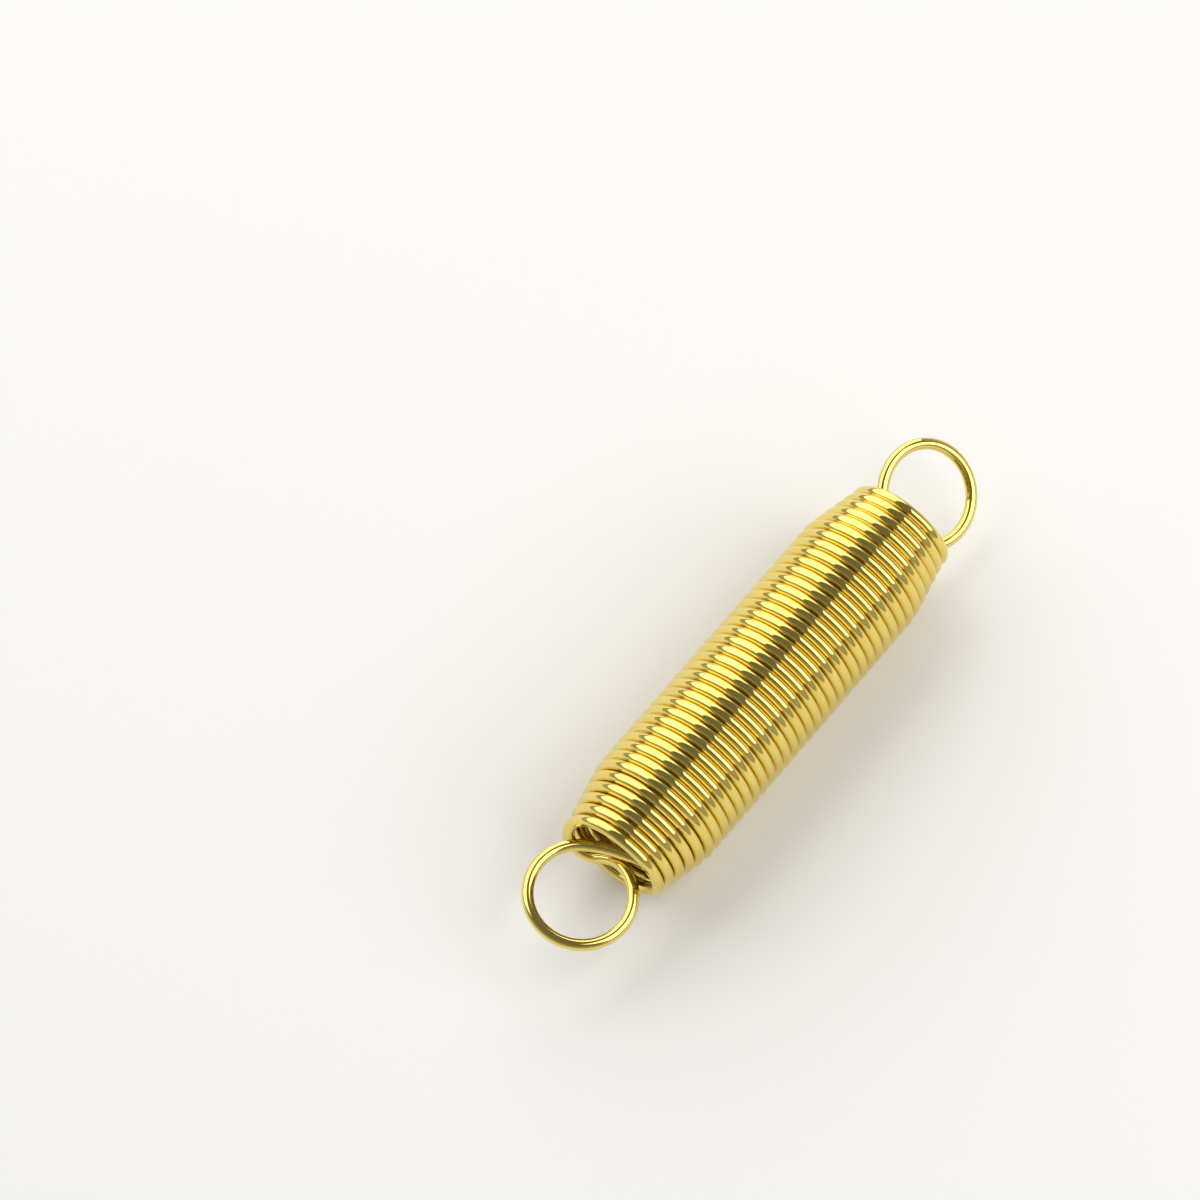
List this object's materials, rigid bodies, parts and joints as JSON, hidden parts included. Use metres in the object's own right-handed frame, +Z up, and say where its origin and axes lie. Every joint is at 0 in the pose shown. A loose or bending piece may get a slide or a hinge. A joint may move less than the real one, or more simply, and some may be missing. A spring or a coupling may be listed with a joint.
{
  "type": "extension spring",
  "caption": "Close-wound extension spring of polished round wire, narrowed at both ends, with a full loop bent out of each end; it stretches and returns.",
  "frame": {"origin": "on the surface that the coil lies on, under the middle of the overall length", "axes": "+X along the coil's axis towards the far loop, +Z up, away from the surface"},
  "size_m": [0.0664, 0.014, 0.014],
  "materials": {
    "gold_wire": "mirror polished"
  },
  "bodies": {
    "near_loop": {"near_loop": "gold_wire"},
    "turn_01": {"turn_01": "gold_wire", "near_neck": "gold_wire"},
    "turn_02": {"turn_02": "gold_wire"},
    "turn_03": {"turn_03": "gold_wire"},
    "turn_04": {"turn_04": "gold_wire"},
    "turn_05": {"turn_05": "gold_wire"},
    "turn_06": {"turn_06": "gold_wire"},
    "turn_07": {"turn_07": "gold_wire"},
    "turn_08": {"turn_08": "gold_wire"},
    "turn_09": {"turn_09": "gold_wire"},
    "turn_10": {"turn_10": "gold_wire"},
    "turn_11": {"turn_11": "gold_wire"},
    "turn_12": {"turn_12": "gold_wire"},
    "turn_13": {"turn_13": "gold_wire"},
    "turn_14": {"turn_14": "gold_wire"},
    "turn_15": {"turn_15": "gold_wire"},
    "turn_16": {"turn_16": "gold_wire"},
    "turn_17": {"turn_17": "gold_wire"},
    "turn_18": {"turn_18": "gold_wire"},
    "turn_19": {"turn_19": "gold_wire"},
    "turn_20": {"turn_20": "gold_wire"},
    "turn_21": {"turn_21": "gold_wire"},
    "turn_22": {"turn_22": "gold_wire"},
    "turn_23": {"turn_23": "gold_wire"},
    "turn_24": {"turn_24": "gold_wire"},
    "turn_25": {"turn_25": "gold_wire"},
    "turn_26": {"turn_26": "gold_wire"},
    "turn_27": {"turn_27": "gold_wire"},
    "turn_28": {"turn_28": "gold_wire"},
    "turn_29": {"turn_29": "gold_wire"},
    "turn_30": {"turn_30": "gold_wire"},
    "turn_31": {"turn_31": "gold_wire"},
    "turn_32": {"turn_32": "gold_wire"},
    "turn_33": {"turn_33": "gold_wire"},
    "turn_34": {"turn_34": "gold_wire"},
    "turn_35": {"turn_35": "gold_wire"},
    "turn_36": {"turn_36": "gold_wire"},
    "turn_37": {"turn_37": "gold_wire", "far_neck": "gold_wire"},
    "far_loop": {"far_loop": "gold_wire"}
  },
  "joints": [
    {"name": "stretch", "type": "slide", "parent": "turn_19", "child": "turn_20", "axis": [1, 0, 0], "range_m": [0, 0.0024], "stiffness_N_per_m": 4700},
    {"name": "gap_18", "type": "slide", "parent": "turn_19", "child": "turn_18", "axis": [-1, 0, 0], "range_m": [0, 0.0024], "stiffness_N_per_m": 4700},
    {"name": "gap_17", "type": "slide", "parent": "turn_18", "child": "turn_17", "axis": [-1, 0, 0], "range_m": [0, 0.0024], "stiffness_N_per_m": 4700},
    {"name": "gap_16", "type": "slide", "parent": "turn_17", "child": "turn_16", "axis": [-1, 0, 0], "range_m": [0, 0.0024], "stiffness_N_per_m": 4700},
    {"name": "gap_15", "type": "slide", "parent": "turn_16", "child": "turn_15", "axis": [-1, 0, 0], "range_m": [0, 0.0024], "stiffness_N_per_m": 4700},
    {"name": "gap_14", "type": "slide", "parent": "turn_15", "child": "turn_14", "axis": [-1, 0, 0], "range_m": [0, 0.0024], "stiffness_N_per_m": 4700},
    {"name": "gap_13", "type": "slide", "parent": "turn_14", "child": "turn_13", "axis": [-1, 0, 0], "range_m": [0, 0.0024], "stiffness_N_per_m": 4700},
    {"name": "gap_12", "type": "slide", "parent": "turn_13", "child": "turn_12", "axis": [-1, 0, 0], "range_m": [0, 0.0024], "stiffness_N_per_m": 4700},
    {"name": "gap_11", "type": "slide", "parent": "turn_12", "child": "turn_11", "axis": [-1, 0, 0], "range_m": [0, 0.0024], "stiffness_N_per_m": 4700},
    {"name": "gap_10", "type": "slide", "parent": "turn_11", "child": "turn_10", "axis": [-1, 0, 0], "range_m": [0, 0.0024], "stiffness_N_per_m": 4700},
    {"name": "gap_09", "type": "slide", "parent": "turn_10", "child": "turn_09", "axis": [-1, 0, 0], "range_m": [0, 0.0024], "stiffness_N_per_m": 4700},
    {"name": "gap_08", "type": "slide", "parent": "turn_09", "child": "turn_08", "axis": [-1, 0, 0], "range_m": [0, 0.0024], "stiffness_N_per_m": 4700},
    {"name": "gap_07", "type": "slide", "parent": "turn_08", "child": "turn_07", "axis": [-1, 0, 0], "range_m": [0, 0.0024], "stiffness_N_per_m": 4700},
    {"name": "gap_06", "type": "slide", "parent": "turn_07", "child": "turn_06", "axis": [-1, 0, 0], "range_m": [0, 0.0024], "stiffness_N_per_m": 4700},
    {"name": "gap_05", "type": "slide", "parent": "turn_06", "child": "turn_05", "axis": [-1, 0, 0], "range_m": [0, 0.0024], "stiffness_N_per_m": 4700},
    {"name": "gap_04", "type": "slide", "parent": "turn_05", "child": "turn_04", "axis": [-1, 0, 0], "range_m": [0, 0.0024], "stiffness_N_per_m": 4700},
    {"name": "gap_03", "type": "slide", "parent": "turn_04", "child": "turn_03", "axis": [-1, 0, 0], "range_m": [0, 0.0024], "stiffness_N_per_m": 4700},
    {"name": "gap_02", "type": "slide", "parent": "turn_03", "child": "turn_02", "axis": [-1, 0, 0], "range_m": [0, 0.0024], "stiffness_N_per_m": 4700},
    {"name": "gap_01", "type": "slide", "parent": "turn_02", "child": "turn_01", "axis": [-1, 0, 0], "range_m": [0, 0.0024], "stiffness_N_per_m": 4700},
    {"name": "gap_21", "type": "slide", "parent": "turn_20", "child": "turn_21", "axis": [1, 0, 0], "range_m": [0, 0.0024], "stiffness_N_per_m": 4700},
    {"name": "gap_22", "type": "slide", "parent": "turn_21", "child": "turn_22", "axis": [1, 0, 0], "range_m": [0, 0.0024], "stiffness_N_per_m": 4700},
    {"name": "gap_23", "type": "slide", "parent": "turn_22", "child": "turn_23", "axis": [1, 0, 0], "range_m": [0, 0.0024], "stiffness_N_per_m": 4700},
    {"name": "gap_24", "type": "slide", "parent": "turn_23", "child": "turn_24", "axis": [1, 0, 0], "range_m": [0, 0.0024], "stiffness_N_per_m": 4700},
    {"name": "gap_25", "type": "slide", "parent": "turn_24", "child": "turn_25", "axis": [1, 0, 0], "range_m": [0, 0.0024], "stiffness_N_per_m": 4700},
    {"name": "gap_26", "type": "slide", "parent": "turn_25", "child": "turn_26", "axis": [1, 0, 0], "range_m": [0, 0.0024], "stiffness_N_per_m": 4700},
    {"name": "gap_27", "type": "slide", "parent": "turn_26", "child": "turn_27", "axis": [1, 0, 0], "range_m": [0, 0.0024], "stiffness_N_per_m": 4700},
    {"name": "gap_28", "type": "slide", "parent": "turn_27", "child": "turn_28", "axis": [1, 0, 0], "range_m": [0, 0.0024], "stiffness_N_per_m": 4700},
    {"name": "gap_29", "type": "slide", "parent": "turn_28", "child": "turn_29", "axis": [1, 0, 0], "range_m": [0, 0.0024], "stiffness_N_per_m": 4700},
    {"name": "gap_30", "type": "slide", "parent": "turn_29", "child": "turn_30", "axis": [1, 0, 0], "range_m": [0, 0.0024], "stiffness_N_per_m": 4700},
    {"name": "gap_31", "type": "slide", "parent": "turn_30", "child": "turn_31", "axis": [1, 0, 0], "range_m": [0, 0.0024], "stiffness_N_per_m": 4700},
    {"name": "gap_32", "type": "slide", "parent": "turn_31", "child": "turn_32", "axis": [1, 0, 0], "range_m": [0, 0.0024], "stiffness_N_per_m": 4700},
    {"name": "gap_33", "type": "slide", "parent": "turn_32", "child": "turn_33", "axis": [1, 0, 0], "range_m": [0, 0.0024], "stiffness_N_per_m": 4700},
    {"name": "gap_34", "type": "slide", "parent": "turn_33", "child": "turn_34", "axis": [1, 0, 0], "range_m": [0, 0.0024], "stiffness_N_per_m": 4700},
    {"name": "gap_35", "type": "slide", "parent": "turn_34", "child": "turn_35", "axis": [1, 0, 0], "range_m": [0, 0.0024], "stiffness_N_per_m": 4700},
    {"name": "gap_36", "type": "slide", "parent": "turn_35", "child": "turn_36", "axis": [1, 0, 0], "range_m": [0, 0.0024], "stiffness_N_per_m": 4700},
    {"name": "gap_37", "type": "slide", "parent": "turn_36", "child": "turn_37", "axis": [1, 0, 0], "range_m": [0, 0.0024], "stiffness_N_per_m": 4700},
    {"name": "near_tilt", "type": "hinge", "parent": "turn_01", "child": "near_loop", "pos_m": [-0.02424, -0.00388, 0.00652], "axis": [-0.766, -0.638, -0.0783], "range_deg": [-8, 8], "stiffness_Nm_per_rad": 0.8},
    {"name": "far_tilt", "type": "hinge", "parent": "turn_37", "child": "far_loop", "pos_m": [0.02424, 0.00312, 0.00935], "axis": [0.766, 0.5134, 0.3868], "range_deg": [-8, 8], "stiffness_Nm_per_rad": 0.8}
  ],
  "couplings": [
    {"joint": "gap_18", "follows": "stretch", "ratio": 1},
    {"joint": "gap_17", "follows": "stretch", "ratio": 1},
    {"joint": "gap_16", "follows": "stretch", "ratio": 1},
    {"joint": "gap_15", "follows": "stretch", "ratio": 1},
    {"joint": "gap_14", "follows": "stretch", "ratio": 1},
    {"joint": "gap_13", "follows": "stretch", "ratio": 1},
    {"joint": "gap_12", "follows": "stretch", "ratio": 1},
    {"joint": "gap_11", "follows": "stretch", "ratio": 1},
    {"joint": "gap_10", "follows": "stretch", "ratio": 1},
    {"joint": "gap_09", "follows": "stretch", "ratio": 1},
    {"joint": "gap_08", "follows": "stretch", "ratio": 1},
    {"joint": "gap_07", "follows": "stretch", "ratio": 1},
    {"joint": "gap_06", "follows": "stretch", "ratio": 1},
    {"joint": "gap_05", "follows": "stretch", "ratio": 1},
    {"joint": "gap_04", "follows": "stretch", "ratio": 1},
    {"joint": "gap_03", "follows": "stretch", "ratio": 1},
    {"joint": "gap_02", "follows": "stretch", "ratio": 1},
    {"joint": "gap_01", "follows": "stretch", "ratio": 1},
    {"joint": "gap_21", "follows": "stretch", "ratio": 1},
    {"joint": "gap_22", "follows": "stretch", "ratio": 1},
    {"joint": "gap_23", "follows": "stretch", "ratio": 1},
    {"joint": "gap_24", "follows": "stretch", "ratio": 1},
    {"joint": "gap_25", "follows": "stretch", "ratio": 1},
    {"joint": "gap_26", "follows": "stretch", "ratio": 1},
    {"joint": "gap_27", "follows": "stretch", "ratio": 1},
    {"joint": "gap_28", "follows": "stretch", "ratio": 1},
    {"joint": "gap_29", "follows": "stretch", "ratio": 1},
    {"joint": "gap_30", "follows": "stretch", "ratio": 1},
    {"joint": "gap_31", "follows": "stretch", "ratio": 1},
    {"joint": "gap_32", "follows": "stretch", "ratio": 1},
    {"joint": "gap_33", "follows": "stretch", "ratio": 1},
    {"joint": "gap_34", "follows": "stretch", "ratio": 1},
    {"joint": "gap_35", "follows": "stretch", "ratio": 1},
    {"joint": "gap_36", "follows": "stretch", "ratio": 1},
    {"joint": "gap_37", "follows": "stretch", "ratio": 1}
  ]
}
